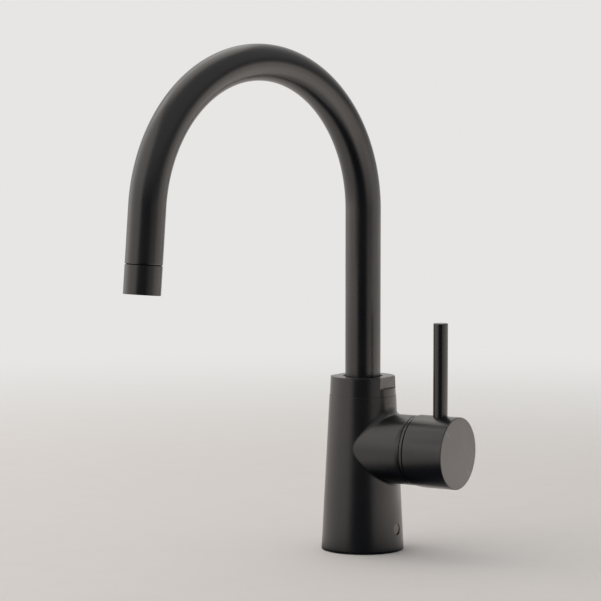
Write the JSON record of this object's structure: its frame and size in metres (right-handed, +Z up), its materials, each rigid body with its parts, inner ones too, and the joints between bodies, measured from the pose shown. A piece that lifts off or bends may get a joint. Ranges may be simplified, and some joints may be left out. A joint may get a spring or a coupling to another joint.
{
  "type": "gooseneck bar faucet",
  "caption": "Single-lever bar faucet: conical body on a round foot, tall swivelling gooseneck spout, round side handle with a plain upright pin lever.",
  "frame": {"origin": "centre of the base's underside, on the faucet's own upright axis, in the plane of the deck", "axes": "+Z up along the body's axis, +X out along the handle's branch, -Y towards the user; the spout is stored turned 12.1 degrees from straight ahead"},
  "size_m": [0.118, 0.218, 0.3139],
  "materials": {
    "black_casting": "matte warm black coating",
    "black_tube": "matte warm black coating",
    "black_trim": "matte warm black coating",
    "brass": "machined",
    "steel": "machined",
    "rubber": "plain",
    "white_plastic": "moulded",
    "grey_plastic": "moulded",
    "ceramic": null
  },
  "bodies": {
    "valve_body": {"faucet_body": "black_casting", "base_insert": "brass", "base_seal": "rubber", "base_grub_screw": "steel", "base_plug": "black_trim", "spout_collar": "black_trim", "lower_slide_ring": "grey_plastic", "upper_slide_ring": "grey_plastic", "cartridge_base": "white_plastic", "port_seals": "rubber", "fixed_disc": "ceramic", "cartridge_shell": "white_plastic", "cartridge_nut": "brass", "cover_ring": "black_trim"},
    "spout": {"spout_tube": "black_tube", "spout_root": "brass", "lower_spout_seal": "rubber", "upper_spout_seal": "rubber", "tip_insert": "brass", "aerator_ring": "black_trim", "aerator_core": "grey_plastic", "aerator_screen": "steel", "aerator_washer": "rubber"},
    "mixer_rotor": {"stem_rotor": "grey_plastic", "pivot_pin": "steel"},
    "lever": {"valve_stem": "brass", "handle_cap": "black_trim", "lever_pin": "black_trim", "lever_grub_screw": "steel"},
    "disc_slider": {"moving_disc": "ceramic", "disc_carrier": "grey_plastic"}
  },
  "joints": [
    {"name": "spout_swivel", "type": "hinge", "parent": "valve_body", "child": "spout", "pos_m": [0, 0, 0.105], "axis": [0, 0, 1], "continuous": true},
    {"name": "temperature_turn", "type": "hinge", "parent": "valve_body", "child": "mixer_rotor", "pos_m": [0.031, 0, 0.0645], "axis": [1, 0, 0], "range_deg": [-45, 45]},
    {"name": "flow_tilt", "type": "hinge", "parent": "mixer_rotor", "child": "lever", "pos_m": [0.031, 0, 0.0645], "axis": [0, 1, 0], "range_deg": [0, 25]},
    {"name": "disc_slide", "type": "slide", "parent": "mixer_rotor", "child": "disc_slider", "axis": [0, 0, 1], "range_m": [0, 0.0032]}
  ],
  "couplings": [
    {"joint": "disc_slide", "follows": "flow_tilt", "m_per_rad": 0.007}
  ]
}
